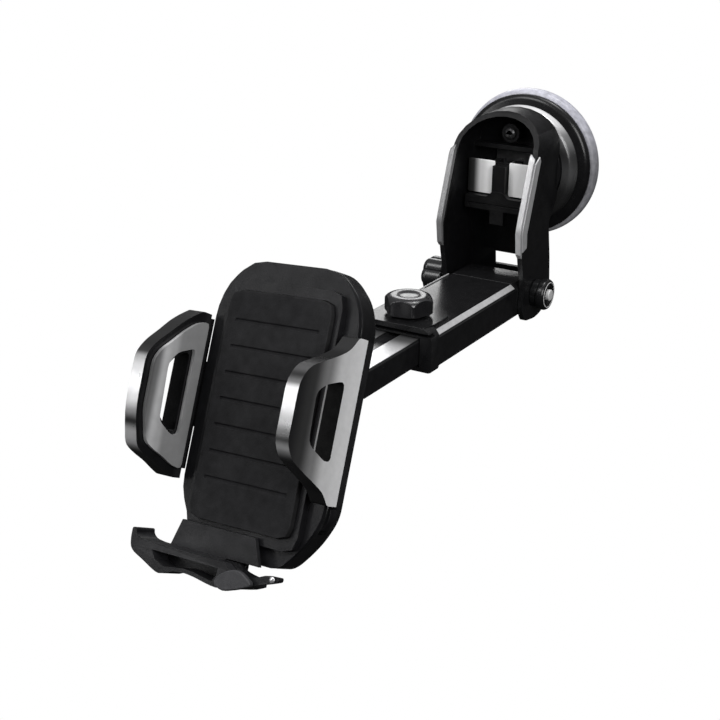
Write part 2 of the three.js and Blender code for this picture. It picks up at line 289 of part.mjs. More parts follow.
// the left arm is the same moulding turned half a turn about the gear's axis
const armL = armR.clone();
armL.applyMatrix4(new THREE.Matrix4().makeRotationZ(Math.PI));
emit('clamp_ear_right', cradle(ear), 'silver');
emit('clamp_ear_left', cradle(flipU(earL)), 'silver');
emit('ear_pad_right', cradle(earPad), 'rubber');
emit('ear_pad_left', cradle(flipU(earPadL)), 'rubber');
emit('clamp_arm_right', cradle(armR), 'black');
emit('clamp_arm_left', cradle(armL), 'black');
// pinion: 12 slim teeth on a 6 mm pitch radius, a tooth space faces each rack tooth
const pin = [];
const NT = 12;
for (let k = 0; k < NT; k++) {
  const a = (k + 0.0) * 2 * Math.PI / NT + Math.PI / 2, w0 = 0.125, w1 = 0.055;
  for (const [r, d] of [[5.0, -w0], [6.75, -w1], [6.75, w1], [5.0, w0]]) pin.push([r * Math.cos(a + d), r * Math.sin(a + d)]);
}
emit('pinion', cradle(sub(slab(pin, -8.9, -4.5), rod(2.9, -12, 0, 'z', [0, 0, 0], 20))), 'pom');

// release button, low on the right edge, and the leaf that pushes it back out
emit('release_button', cradle(add(put(slab(rounded([[23.6, -40.2], [31.8, -40.2], [34.6, -36], [34.6, -31.6], [23.6, -31.6]], 1, 2), -8.2, -4.4), X, Y, Z), box(20.4, 24, -38, -34, -7.8, -4.8))), 'matte');
emit('button_leaf', cradle(box(16.4, 16.9, -39.8, -32.2, -7.6, -5.0)), 'steel');

// ---------------------------------------------------------------- foot
// stem in the channel, tongue under the body, front tray with the lip
const stemF = add(box(FOOT_L, FOOT_R, -61.6, -24, -12.9, -10.8), box(FOOT_L, FOOT_R, -63.4, -61.0, -12.9, 2.0));
emit('foot_stem', cradle(stemF), 'black');
const trayOut = rounded([[-42.2, -54], [-42.2, -58.3], [-41.4, -61.6], [-39.2, -63.2], [-34.4, -65], [-28.7, -67.4], [-25.2, -68.5], [-21.6, -67.2], [-18.2, -66], [-13.2, -65.5], [-8.1, -65.9], [-2.1, -66.9], [3, -67.5], [14, -65.7], [19.9, -62.9], [27.7, -60.4], [30.4, -59.4], [30.4, -57.9], [24.5, -58.2], [21.8, -59.4], [15.8, -61.0], [11.5, -60.6], [7.8, -59.7], [5.5, -57.9], [-34, -57.8], [-38.2, -57.2], [-40.0, -55.6], [-40.2, -54]],
  [1, 2, 2, 1, 1, 1, 1.5, 1.5, 2, 3, 3, 3, 3, 3, 3, 1, 0.6, 0.6, 1, 2, 3, 2, 2, 1, 3, 2, 2, 0.6], 2);
let tray = slab(trayOut, 2.4, 12.6);
// back plate behind the phone's lower edge; deep recess on the left, a shallow open dip on the right for a charging lead
tray = add(tray, slab([[-30, -59], [-26, -47.5], [10, -47.5], [14, -57.4], [-2, -57.4], [-2, -59]], 2.4, 4.0));
tray = sub(tray, slab([[-30.6, -60.4], [-28.4, -63.6], [-23.4, -65.3], [-19.3, -64.7], [-13.6, -64], [-8.5, -64.3], [-4.2, -65], [0.6, -65.5], [2.4, -63.0], [2.4, -60.4]], 4.6, 20),
  box(18, 40, -70, -50, 2, 9.6), box(-1.5, 9, -61.2, -56.9, 4.3, 9.0));
emit('foot_tray', cradle(tray), 'black');
const lip = rounded([[3.5, -64.9], [4.2, -63.2], [6.4, -61.3], [9.2, -59.8], [12.1, -58.8], [15.4, -59.2], [17.6, -60.4], [20.2, -61.8], [20.2, -63.2], [14.7, -65.6], [8.1, -67.6], [4.2, -66.4]], 1.6, 2);
emit('foot_lip', cradle(slab(lip, 12.9, 15.2)), 'matte');
emit('foot_pin', cradle(turn([[0, 12.9], [1.0, 12.9], [1.2, 13.2], [1.2, 13.7], [0, 13.9]], 14, 'z', [28.2, -59.0, 0])), 'steel');

export default group;
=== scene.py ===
import bpy, bmesh, math, json
from mathutils import Vector, Matrix


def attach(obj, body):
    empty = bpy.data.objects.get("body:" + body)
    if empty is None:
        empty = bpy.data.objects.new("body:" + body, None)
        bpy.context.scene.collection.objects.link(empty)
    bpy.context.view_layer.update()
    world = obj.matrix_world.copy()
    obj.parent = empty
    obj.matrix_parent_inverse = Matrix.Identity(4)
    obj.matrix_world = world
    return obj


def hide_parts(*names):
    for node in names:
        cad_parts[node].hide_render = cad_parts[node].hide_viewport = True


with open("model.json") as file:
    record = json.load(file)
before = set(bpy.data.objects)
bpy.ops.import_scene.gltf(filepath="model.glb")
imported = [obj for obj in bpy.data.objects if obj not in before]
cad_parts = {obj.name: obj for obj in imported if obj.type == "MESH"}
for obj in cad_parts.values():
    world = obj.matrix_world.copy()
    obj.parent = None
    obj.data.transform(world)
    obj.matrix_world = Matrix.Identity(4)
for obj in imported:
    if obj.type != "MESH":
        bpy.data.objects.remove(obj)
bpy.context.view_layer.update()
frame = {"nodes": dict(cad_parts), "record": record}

scn = bpy.context.scene
rec = frame["record"]
J = {j["name"]: j for j in rec["behaviour"]["joints"]}
H = Vector(J["arm_tilt"]["pos_m"])                 # arm hinge
CU = Vector(J["clamp_right_slide"]["axis"]).normalized()
CN = Vector(J["ball_roll"]["axis"]).normalized()
CV = CN.cross(CU).normalized()
BALL = Vector(J["ball_roll"]["pos_m"])
BV, BN = 8.5, -31.0
CO = BALL - CV * (BV / 1000) - CN * (BN / 1000)
CUPZ = 53.0


def A(x, y, z):
    return H + Vector((x, y, z)) / 1000


def C(u, v, n):
    return CO + CU * (u / 1000) + CV * (v / 1000) + CN * (n / 1000)


# ------------------------------------------------------------------ camera, light, stage
cam_data = bpy.data.cameras.new("camera")
cam = bpy.data.objects.new("camera", cam_data)
scn.collection.objects.link(cam)
R = Matrix(((0.85993, -0.19196, 0.47295), (0.51023, 0.29804, -0.80675), (0.01391, 0.93505, 0.35423)))
cam.matrix_world = Matrix.Translation(Vector((0.27698, -0.63353, 0.15593))) @ R.to_4x4()
cam_data.sensor_width = 36
cam_data.lens = 72.5
cam_data.clip_start = 0.02
scn.camera = cam
scn.view_settings.view_transform = "Standard"
scn.view_settings.look = "None"

world = bpy.data.worlds.new("world")
scn.world = world
world.use_nodes = True
wn, wl = world.node_tree.nodes, world.node_tree.links
wn.clear()
wo = wn.new("ShaderNodeOutputWorld")
tc = wn.new("ShaderNodeTexCoord")
sep = wn.new("ShaderNodeSeparateXYZ")
ramp = wn.new("ShaderNodeValToRGB")
mr = wn.new("ShaderNodeMapRange")
mr.inputs[1].default_value = -1
mr.inputs[2].default_value = 1
wl.new(tc.outputs["Generated"], sep.inputs[0])
wl.new(sep.outputs[2], mr.inputs[0])
wl.new(mr.outputs[0], ramp.inputs[0])
e = ramp.color_ramp.elements
e[0].position, e[0].color = 0.0, (0.02, 0.02, 0.02, 1)
e[1].position, e[1].color = 1.0, (0.60, 0.60, 0.61, 1)
for p, c in ((0.46, 0.03), (0.55, 0.08), (0.75, 0.34)):
    x = ramp.color_ramp.elements.new(p)
    x.color = (c, c, c * 1.01, 1)
bg = wn.new("ShaderNodeBackground")
wl.new(ramp.outputs[0], bg.inputs[0])
bg.inputs[1].default_value = 0.8
bgc = wn.new("ShaderNodeBackground")
bgc.inputs[0].default_value = (1, 1, 1, 1)
bgc.inputs[1].default_value = 1.0
lp = wn.new("ShaderNodeLightPath")
mx = wn.new("ShaderNodeMixShader")
wl.new(lp.outputs["Is Camera Ray"], mx.inputs[0])
wl.new(bg.outputs[0], mx.inputs[1])
wl.new(bgc.outputs[0], mx.inputs[2])
wl.new(mx.outputs[0], wo.inputs[0])


def area(name, loc, target, size, power, size_y=None):
    d = bpy.data.lights.new(name, "AREA")
    d.shape = "RECTANGLE"
    d.size = size
    d.size_y = size_y or size
    d.energy = power
    o = bpy.data.objects.new(name, d)
    scn.collection.objects.link(o)
    o.location = loc
    o.rotation_euler = (Vector(target) - Vector(loc)).to_track_quat("-Z", "Y").to_euler()
    return o


mid = (0.0, -0.14, -0.05)
area("key", (-0.35, -0.75, 0.75), mid, 0.50, 5.0)
area("top", (0.10, 0.05, 0.85), mid, 0.45, 2.6)
area("fill_right", (0.62, -0.62, 0.35), mid, 0.35, 4.2, 0.5)
area("left", (-0.80, -0.90, 0.25), mid, 0.20, 2.2, 0.7)
area("back", (-0.50, 0.80, 0.42), mid, 0.35, 1.6)
area("ring_glint", (0.10, 0.10, 0.75), tuple(H + Vector((0, 0, 0.05))), 0.10, 0.6)


# ------------------------------------------------------------------ materials
MATS = {}


def material(name, slot, base, rough, metal=0.0, coat=0.0, coat_rough=0.05, vary=0.15, rvary=0.08, nscale=260.0, bump=0.02, bscale=1800.0,
             wear_and_edge_highlight=None, grad=None, spec=0.5, stretch=None, sss=0.0, trans=0.0, ior=1.5, aniso=0.0):
    """A moulded or plated finish: mottled colour, uneven roughness, a fine grain in the bump and paler edges, which are
    partly worn edges and partly a painted highlight; grad adds painted light and shade.
    """
    if name in MATS:
        return MATS[name][0]
    m = bpy.data.materials.new(name)
    m.use_nodes = True
    n, l = m.node_tree.nodes, m.node_tree.links
    n.clear()
    out = n.new("ShaderNodeOutputMaterial")
    b = n.new("ShaderNodeBsdfPrincipled")
    l.new(b.outputs[0], out.inputs[0])
    t = n.new("ShaderNodeTexCoord")
    mp = n.new("ShaderNodeMapping")
    l.new(t.outputs["Object"], mp.inputs[0])
    if stretch:
        mp.inputs["Scale"].default_value = stretch
    n1 = n.new("ShaderNodeTexNoise")
    n1.inputs["Scale"].default_value = nscale
    n1.inputs["Detail"].default_value = 5
    l.new(mp.outputs[0], n1.inputs["Vector"])
    r1 = n.new("ShaderNodeValToRGB")
    lo = [c * (1 - vary) for c in base]
    hi = [min(1, c * (1 + vary)) for c in base]
    r1.color_ramp.elements[0].position = 0.3
    r1.color_ramp.elements[0].color = (*lo, 1)
    r1.color_ramp.elements[1].position = 0.7
    r1.color_ramp.elements[1].color = (*hi, 1)
    l.new(n1.outputs[0], r1.inputs[0])
    colour = r1.outputs[0]
    if grad:
        # painted light and shade as a colour ramp: (direction, start point, end point, [(position, colour)...]) in the
        # part's own space
        d, p0, p1, stops = grad
        dot = n.new("ShaderNodeVectorMath")
        dot.operation = "DOT_PRODUCT"
        l.new(t.outputs["Object"], dot.inputs[0])
        dot.inputs[1].default_value = d
        g = n.new("ShaderNodeMapRange")
        l.new(dot.outputs["Value"], g.inputs[0])
        g.inputs[1].default_value = Vector(d).dot(p0)
        g.inputs[2].default_value = Vector(d).dot(p1)
        rr = n.new("ShaderNodeValToRGB")
        rr.color_ramp.interpolation = "EASE"
        el = rr.color_ramp.elements
        el[0].position, el[0].color = stops[0][0], (*stops[0][1], 1)
        el[1].position, el[1].color = stops[-1][0], (*stops[-1][1], 1)
        for p, c in stops[1:-1]:
            q = el.new(p)
            q.color = (*c, 1)
        l.new(g.outputs[0], rr.inputs[0])
        mul = n.new("ShaderNodeMix")
        mul.data_type = "RGBA"
        mul.blend_type = "MULTIPLY"
        mul.inputs[0].default_value = 1.0
        l.new(colour, mul.inputs[6])
        l.new(rr.outputs[0], mul.inputs[7])
        colour = mul.outputs[2]
    # paler edges by pointiness: partly worn edges, partly a painted highlight along the edges
    if wear_and_edge_highlight:
        geo = n.new("ShaderNodeNewGeometry")
        w = n.new("ShaderNodeMapRange")
        w.inputs[1].default_value = 0.52
        w.inputs[2].default_value = 0.60
        l.new(geo.outputs["Pointiness"], w.inputs[0])
        wm = n.new("ShaderNodeMath")
        wm.operation = "MULTIPLY"
        l.new(w.outputs[0], wm.inputs[0])
        l.new(n1.outputs[0], wm.inputs[1])
        mw = n.new("ShaderNodeMix")
        mw.data_type = "RGBA"
        l.new(wm.outputs[0], mw.inputs[0])
        l.new(colour, mw.inputs[6])
        mw.inputs[7].default_value = (*wear_and_edge_highlight, 1)
        colour = mw.outputs[2]
    l.new(colour, b.inputs["Base Color"])
    n2 = n.new("ShaderNodeTexNoise")
    n2.inputs["Scale"].default_value = nscale * 0.45
    n2.inputs["Detail"].default_value = 6
    l.new(mp.outputs[0], n2.inputs["Vector"])
    r2 = n.new("ShaderNodeMapRange")
    r2.inputs[1].default_value = 0.3
    r2.inputs[2].default_value = 0.7
    r2.inputs[3].default_value = max(0.02, rough - rvary)
    r2.inputs[4].default_value = rough + rvary
    l.new(n2.outputs[0], r2.inputs[0])
    l.new(r2.outputs[0], b.inputs["Roughness"])
    n3 = n.new("ShaderNodeTexNoise")
    n3.inputs["Scale"].default_value = bscale
    n3.inputs["Detail"].default_value = 3
    l.new(mp.outputs[0], n3.inputs["Vector"])
    bp = n.new("ShaderNodeBump")
    bp.inputs["Strength"].default_value = bump
    bp.inputs["Distance"].default_value = 0.0004
    l.new(n3.outputs[0], bp.inputs["Height"])
    l.new(bp.outputs[0], b.inputs["Normal"])
    b.inputs["Metallic"].default_value = metal
    b.inputs["Coat Weight"].default_value = coat
    b.inputs["Coat Roughness"].default_value = coat_rough
    b.inputs["Specular IOR Level"].default_value = spec
    b.inputs["IOR"].default_value = ior
    if sss:
        b.inputs["Subsurface Weight"].default_value = sss
        b.inputs["Subsurface Radius"].default_value = (0.004, 0.004, 0.005)
        b.inputs["Subsurface Scale"].default_value = 1.0
    if trans:
        b.inputs["Transmission Weight"].default_value = trans
    if aniso:
        b.inputs["Anisotropic"].default_value = aniso
    MATS[name] = (m, slot)
    return m


BLACK = material("moulding_black", "black_gloss", (0.0080, 0.0080, 0.0086), 0.24, vary=0.18, rvary=0.03, bump=0.04, spec=0.32, wear_and_edge_highlight=(0.022, 0.022, 0.023))
BLACK_SOFT = material("moulding_black_satin", "black_gloss", (0.008, 0.008, 0.009), 0.40, vary=0.2, rvary=0.06, bump=0.12, spec=0.18, wear_and_edge_highlight=(0.03, 0.03, 0.032))
# painted shade: a near-black, barely shiny finish for the inner walls of the ear windows
RIM_PAINTED_SHADE = material("window_painted_shade", "rubber", (0.0025, 0.0025, 0.0027), 0.6, vary=0.3, rvary=0.1, bump=0.2, spec=0.04, wear_and_edge_highlight=(0.01, 0.01, 0.01))
# painted shade: a darker, less shiny black for the inside of the hood, the front of its arch top and the lever inside
# it
BLACK_PAINTED_SHADE = material("hood_painted_shade", "black_gloss", (0.004, 0.004, 0.0045), 0.42, vary=0.3, rvary=0.08, bump=0.12, spec=0.2, wear_and_edge_highlight=(0.012, 0.012, 0.012))
GREY_NUB = material("nub_grey", "black_matte", (0.040, 0.040, 0.043), 0.55, vary=0.12, rvary=0.06, bump=0.35, bscale=3200, spec=0.3, wear_and_edge_highlight=(0.10, 0.10, 0.105))
SILVER = material("plating_silver", "silver_satin", (0.50, 0.50, 0.51), 0.38, metal=0.35, vary=0.06, rvary=0.05, bump=0.10, nscale=420, bscale=3600, wear_and_edge_highlight=(0.75, 0.75, 0.75))
# painted shade: a darker copy of the silver plating for the left side
SILVER_PAINTED_SHADE = material("plating_silver_painted_shade", "silver_satin", (0.20, 0.20, 0.205), 0.38, metal=0.35, vary=0.06, rvary=0.05, bump=0.10, nscale=420, bscale=3600, wear_and_edge_highlight=(0.4, 0.4, 0.4))
PANEL = material("panel_silver", "silver_satin", (0.93, 0.93, 0.93), 0.42, metal=0.0, vary=0.03, rvary=0.05, bump=0.06, nscale=200, bscale=3000, wear_and_edge_highlight=(0.85, 0.85, 0.85))
# painted shade: the left panel darkens to black towards its left edge, where the hood's cheek shades it
PANEL_PAINTED_SHADE_L = material("panel_silver_painted_shade", "silver_satin", (0.93, 0.93, 0.93), 0.42, metal=0.0, vary=0.03, rvary=0.05, bump=0.06, nscale=200, bscale=3000, wear_and_edge_highlight=None, spec=0.3,
                   grad=((1, 0, 0), A(-17.2, 0, 0), A(-6.0, 0, 0), [(0.0, (0.01, 0.01, 0.01)), (0.25, (0.03, 0.03, 0.03)), (0.62, (0.75, 0.75, 0.75)), (1.0, (1, 1, 1))]))
PLATE = material("plating_dark", "dark_plate", (0.15, 0.15, 0.155), 0.17, metal=1.0, vary=0.10, rvary=0.05, bump=0.03, nscale=220, wear_and_edge_highlight=(0.35, 0.35, 0.35))
KNOB = material("knob_black", "dark_plate", (0.012, 0.012, 0.013), 0.24, metal=0.0, vary=0.2, rvary=0.05, bump=0.03, spec=0.6, wear_and_edge_highlight=(0.05, 0.05, 0.05))
STUD = material("stud_bright", "steel", (0.82, 0.82, 0.82), 0.32, metal=0.15, vary=0.06, rvary=0.08, bump=0.06, nscale=500, bscale=3000, wear_and_edge_highlight=(0.9, 0.9, 0.9))
# painted highlight: the dark plated ring brightens to near white towards its top and is near black lower down
RING_PAINTED_HIGHLIGHT = material("ring_dark_plate_painted_highlight", "dark_plate", (0.85, 0.85, 0.86), 0.26, metal=0.25, vary=0.05, rvary=0.05, bump=0.03, nscale=300, wear_and_edge_highlight=None,
                grad=((0.22, 0, 0.975), A(0, 0, 25), A(6.3, 0, 81.2), [(0.0, (0.02, 0.02, 0.02)), (0.40, (0.035, 0.035, 0.035)), (0.58, (0.12, 0.12, 0.12)), (0.72, (0.06, 0.06, 0.06)), (0.86, (0.25, 0.25, 0.25)), (0.95, (0.9, 0.9, 0.9)), (1.0, (1, 1, 1))]))
STEEL = material("zinc_steel", "steel", (0.50, 0.50, 0.51), 0.30, metal=0.75, vary=0.12, rvary=0.10, bump=0.10, nscale=500, bscale=3000, wear_and_edge_highlight=(0.7, 0.7, 0.7))
STEEL_DK = material("screw_dark", "steel", (0.035, 0.035, 0.037), 0.32, metal=0.6, vary=0.15, rvary=0.10, bump=0.10, nscale=500, bscale=3000, wear_and_edge_highlight=(0.12, 0.12, 0.12))
RUBBER = material("soft_rubber", "rubber", (0.011, 0.011, 0.012), 0.72, vary=0.25, rvary=0.10, bump=0.5, bscale=2600, spec=0.15, wear_and_edge_highlight=(0.04, 0.04, 0.04))
# painted light and shade: the pad is dark at one end of its depth, has a bright band partway along and is mid grey at
# the other end
PADGREY = material("ear_pad_rubber", "rubber", (0.55, 0.55, 0.555), 0.50, vary=0.06, rvary=0.08, bump=0.2, bscale=2600, wear_and_edge_highlight=None,
                   grad=(tuple(CN), C(0, 0, 29.5), C(0, 0, 15), [(0.0, (0.12, 0.12, 0.12)), (0.22, (0.30, 0.30, 0.30)), (0.48, (0.95, 0.95, 0.95)), (0.75, (0.75, 0.75, 0.75)), (1.0, (0.45, 0.45, 0.45))]))
POM = material("slide_white", "slide_plastic", (0.60, 0.60, 0.58), 0.5, vary=0.06, rvary=0.06, bump=0.1, wear_and_edge_highlight=(0.7, 0.7, 0.7))
# painted light and shade: the gel is lighter towards the top and bottom and darker around the middle
GEL = material("sticky_gel", "gel", (0.52, 0.52, 0.555), 0.34, vary=0.22, rvary=0.05, bump=0.12, nscale=420, bscale=900, sss=0.10, ior=1.42,
               grad=((0, 0, 1), A(0, 0, 18), A(0, 0, 88), [(0.0, (0.80, 0.80, 0.79)), (0.45, (0.52, 0.52, 0.52)), (1.0, (0.92, 0.92, 0.97))]))
# painted shade and highlight: the silver strips go from dark next to the clamp collar to bright towards the cradle
BAND_PAINTED_SHADE = material("band_silver_painted_shade", "silver_satin", (0.78, 0.78, 0.79), 0.33, metal=0.3, vary=0.04, rvary=0.05, bump=0.05, nscale=300, bscale=3000, wear_and_edge_highlight=None,
                grad=((0, -1, 0), A(0, -96, 0), A(0, -128, 0), [(0.0, (0.04, 0.04, 0.04)), (0.18, (0.10, 0.10, 0.10)), (0.55, (0.75, 0.75, 0.75)), (1.0, (1, 1, 1))]))


# ------------------------------------------------------------------ mesh helpers
def finish_mesh(name, bm, mat, body, nodes, smooth=32, bevel=0.0, seg=2, bang=30):
    bmesh.ops.recalc_face_normals(bm, faces=bm.faces)
    me = bpy.data.meshes.new(name)
    bm.to_mesh(me)
    bm.free()
    ob = bpy.data.objects.new(name, me)
    scn.collection.objects.link(ob)
    if bevel:
        md = ob.modifiers.new("bevel", "BEVEL")
        md.width = bevel
        md.segments = seg
        md.limit_method = "ANGLE"
        md.angle_limit = math.radians(bang)
        md.use_clamp_overlap = True
        md.miter_outer = "MITER_ARC"
        bake(ob)
    shade(ob, mat, smooth)
    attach(ob, body)
    if nodes:
        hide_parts(*nodes)
    return ob


def shade(ob, mat, smooth):
    """Smooth faces whose normals lean on the larger face, so that flat areas stay flat beside rounded edges."""
    me = ob.data
    me.materials.clear()
    me.materials.append(mat)
    for p in me.polygons:
        p.use_smooth = True
        p.material_index = 0
    me.set_sharp_from_angle(angle=math.radians(smooth))
    wn_ = ob.modifiers.new("wn", "WEIGHTED_NORMAL")
    wn_.mode = "FACE_AREA_WITH_ANGLE"
    wn_.weight = 50
    wn_.keep_sharp = True
    bake(ob)


def paint(ob, mat, test):
    """Gives the faces that pass test(centre, normal) another material, which here also carries painted shade and
    painted highlights.
    """
    me = ob.data
    me.materials.append(mat)
    k = len(me.materials) - 1
    for p in me.polygons:
        if test(p.center, p.normal):
            p.material_index = k


def bake(ob):
    dg = bpy.context.evaluated_depsgraph_get()
    new = bpy.data.meshes.new_from_object(ob.evaluated_get(dg), preserve_all_data_layers=True, depsgraph=dg)
    ob.modifiers.clear()
    ob.data = new


def body_of(node):
    for b, ns in rec["behaviour"]["bodies"].items():
        if node in ns:
            return b


def refine(node, mat, bevel=0.0005, seg=2, smooth=35, bang=28, name=None, join=True):
    """A finished copy of a CAD node: welded, its flat faces joined, and its edges rounded."""
    src = frame["nodes"][node]
    bm = bmesh.new()
    bm.from_mesh(src.data)
    bmesh.ops.remove_doubles(bm, verts=bm.verts, dist=2e-6)
    if join:
        bmesh.ops.dissolve_limit(bm, angle_limit=math.radians(0.6), use_dissolve_boundaries=False, verts=bm.verts, edges=bm.edges)
    return finish_mesh(name or node + "_v", bm, mat, body_of(node), [node], smooth, bevel, seg, bang)


def rounded(pts, r, n=4, closed=True):
    out, k = [], len(pts)
    for i in range(k):
        p = Vector(pts[i])
        rad = r[i] if isinstance(r, (list, tuple)) else r
        if not closed and i in (0, k - 1):
            out.append(tuple(p))
            continue
        a, b = Vector(pts[i - 1]), Vector(pts[(i + 1) % k])
        da, db = a - p, b - p
        t = min(rad, da.length * 0.45, db.length * 0.45)
        if t < 0.02:
            out.append(tuple(p))
            continue
        s0, s1 = p + da.normalized() * t, p + db.normalized() * t
        for j in range(n + 1):
            s = j / n
            out.append(tuple(s0 * (1 - s) ** 2 + p * 2 * s * (1 - s) + s1 * s * s))
    return out


AXES = {"x": (Vector((0, 1, 0)), Vector((0, 0, 1)), Vector((1, 0, 0))), "y": (Vector((0, 0, 1)), Vector((1, 0, 0)), Vector((0, 1, 0))),
        "z": (Vector((1, 0, 0)), Vector((0, 1, 0)), Vector((0, 0, 1))), "n": (CU, CV, CN)}


def lathe_bm(bm, prof, axis, at, seg=96, wave=None):
    """A profile of (radius, height) in mm turned about an axis through at; wave(angle, radius, height) may change the radius."""
    e1, e2, e3 = AXES[axis]
    rows = []
    for r, h in prof:
        if r < 1e-6:
            rows.append([bm.verts.new(at + e3 * (h / 1000))])
        else:
            row = []
            for i in range(seg):
                a = 2 * math.pi * i / seg
                rr = r if wave is None else wave(a, r, h)
                row.append(bm.verts.new(at + e3 * (h / 1000) + (e1 * math.cos(a) + e2 * math.sin(a)) * (rr / 1000)))
            rows.append(row)
    closed = prof[0][0] > 1e-6
    k = len(rows)
    for i in range(k if closed else k - 1):
        a, b = rows[i], rows[(i + 1) % k]
        if len(a) == 1 and len(b) == 1:
            continue
        for j in range(seg):
            j2 = (j + 1) % seg
            if len(a) == 1:
                bm.faces.new((a[0], b[j], b[j2]))
            elif len(b) == 1:
                bm.faces.new((a[j], b[0], a[j2]))
            else:
                bm.faces.new((a[j], b[j], b[j2], a[j2]))
    return bm


def lathe(name, prof, axis, at, mat, body, nodes, seg=96, smooth=32, wave=None):
    bm = bmesh.new()
    lathe_bm(bm, prof, axis, at, seg, wave)
    return finish_mesh(name, bm, mat, body, nodes, smooth)


def loft(name, rings, mat, body, nodes, smooth=35, bevel=0.0, seg=2, bang=30):
    bm = bmesh.new()
    vs = [[bm.verts.new(p) for p in r] for r in rings]
    k = len(rings[0])
    for a, b in zip(vs, vs[1:]):
        for j in range(k):
            bm.faces.new((a[j], a[(j + 1) % k], b[(j + 1) % k], b[j]))
    bm.faces.new(vs[0][::-1])
    bm.faces.new(vs[-1])
    return finish_mesh(name, bm, mat, body, nodes, smooth, bevel, seg, bang)


def prism(name, pts, lo, hi, place, mat, body, nodes, **k):
    """An outline (mm) between two heights, set by place(a, b, h)."""
    return loft(name, [[place(a, b, lo) for a, b in pts], [place(a, b, hi) for a, b in pts]], mat, body, nodes, **k)


cupc = A(0, 0, CUPZ)

# ------------------------------------------------------------------ suction cup
lathe("gel_disc", rounded([(0, 29.6), (32.8, 29.6), (34.4, 30.4), (35.0, 32.6), (34.9, 34.9), (34.2, 36.4), (33.0, 37.0), (0, 37.0)], [0, 0.4, 1.2, 1.6, 1.4, 1.0, 0.5, 0], 4), "y", cupc, GEL, "base", ["gel_pad"], 128)
lathe("membrane", rounded([(0, 29.3), (31.4, 29.3), (31.4, 28.2), (30.2, 27.1), (6.0, 27.1), (6.0, 22.0), (5.0, 20.9), (0, 20.9)], 0.4, 3), "y", cupc, RUBBER, "base", ["cup_membrane"], 96)
lathe("cover_disc", rounded([(6.7, 25.3), (27.8, 25.3), (31.6, 26.0), (33.0, 27.4), (33.0, 29.2), (31.9, 29.2), (31.9, 27.9), (30.6, 26.8), (6.7, 26.8)], [0.1, 0.1, 1.2, 1.0, 0.3, 0.2, 0.2, 0.2, 0.1], 4), "y", cupc, BLACK, "base", ["cup_cover"], 128)
lathe("cup_ring", rounded([(22.6, 19.9), (26.2, 19.9), (27.6, 21.2), (28.4, 24.0), (28.4, 25.0), (22.6, 25.0)], [0.1, 0.5, 0.7, 0.6, 0.25, 0.1], 4), "y", cupc, RING_PAINTED_HIGHLIGHT, "base", ["trim_ring"], 128)

# ------------------------------------------------------------------ yoke
hood = refine("yoke_bracket", BLACK, 0.0006, 3, name="hood")
# painted shade: faces inside the hood cavity and the front faces of the arch top take the darker black
paint(hood, BLACK_PAINTED_SHADE, lambda c, n: (abs(c.x) < 0.0186 and c.y < H.y + 0.0165 and n.y < 0.3) or (n.y < -0.55 and c.z > H.z + 0.062))
# bright caps on the cheeks: a front band and a side band with a dark step between them, their tops cut to a shallow V;
# the left caps take a darker copy of the plating as painted shade
for nm, sx, mt in (("right", 1, SILVER), ("left", -1, SILVER_PAINTED_SHADE)):
    def side(pts, x, sx=sx):
        return [A(sx * x, y, z) for y, z in pts]
    inner = [(-7.6, 66.6), (-9.4, 64.6), (-19.4, 35.6), (-20.2, 32.2), (-18.9, 22.5), (-16.95, 20.4), (-18.05, 31.7), (-6.95, 63.4)]
    outer = [(-8.4, 64.6), (-10.0, 62.6), (-19.4, 35.6), (-20.2, 32.2), (-18.9, 22.5), (-16.95, 20.4), (-18.05, 31.7), (-7.6, 61.6)]
    loft("cheek_front_" + nm, [side(inner, 18.7), side(outer, 21.2)], mt, "base", ["yoke_trim_" + nm], bevel=0.00015, seg=2)
    band = [(-8.5, 62.4), (-18.3, 35.2), (-19.1, 32.2), (-17.8, 23.6), (-13.6, 24.9), (-13.9, 31.6), (-3.0, 62.8), (-4.4, 65.0)]
    loft("cheek_side_" + nm, [side(band, 21.25), side(band, 21.9)], mt, "base", [], bevel=0.00015, seg=2)
refine("cam_plate", STEEL_DK, 0.0002, 1)
for s in ("top", "right", "left"):
    refine("yoke_screw_" + s, STEEL_DK, 0.00012, 1)
refine("pull_stem", STEEL, 0.0002, 1)
refine("cross_pin", STEEL, 0.0002, 1)
# the lever sits in painted shade inside the hood: it takes the darker black
refine("suction_lever", BLACK_PAINTED_SHADE, 0.0004, 3)
refine("lever_panel_right", PANEL, 0.0003, 2)
refine("lever_panel_left", PANEL_PAINTED_SHADE_L, 0.0003, 2)

# ------------------------------------------------------------------ hinge hardware
lathe("bolt_shank", rounded([(0, -29.0), (2.9, -29.0), (2.9, 24.2), (2.6, 24.2), (2.6, 29.4), (0, 29.4)], [0, 0.3, 0.1, 0.1, 0.5, 0], 3), "x", H, STUD, "base", ["hinge_bolt"], 48)
lathe("collar", rounded([(3.2, 21.3), (6.4, 21.3), (6.4, 24.1), (3.2, 24.1)], [0.1, 0.3, 0.3, 0.1], 3), "x", H, BLACK, "base", ["bolt_collar"], 64)
lathe("cap_rings", rounded([(3.0, 24.4), (7.1, 24.4), (7.3, 25.2), (7.3, 27.2), (6.6, 28.3), (5.4, 28.3), (4.9, 27.7), (4.5, 28.3), (3.9, 28.3), (3.5, 27.4), (3.0, 27.4)], [0.1, 0.3, 0.3, 0.5, 0.3, 0.2, 0.1, 0.2, 0.15, 0.2, 0.1], 3), "x", H, BLACK, "base", ["bolt_cap"], 96)
lathe("cap_bright_ring", rounded([(5.55, 28.0), (6.0, 28.0), (6.0, 28.42), (5.55, 28.42)], 0.1, 3), "x", H, STUD, "base", [], 96)
lathe("washer", rounded([(3.2, -22.4), (7.2, -22.4), (7.2, -21.3), (3.2, -21.3)], 0.2, 2), "x", H, STEEL, "base", ["hinge_washer"], 64)


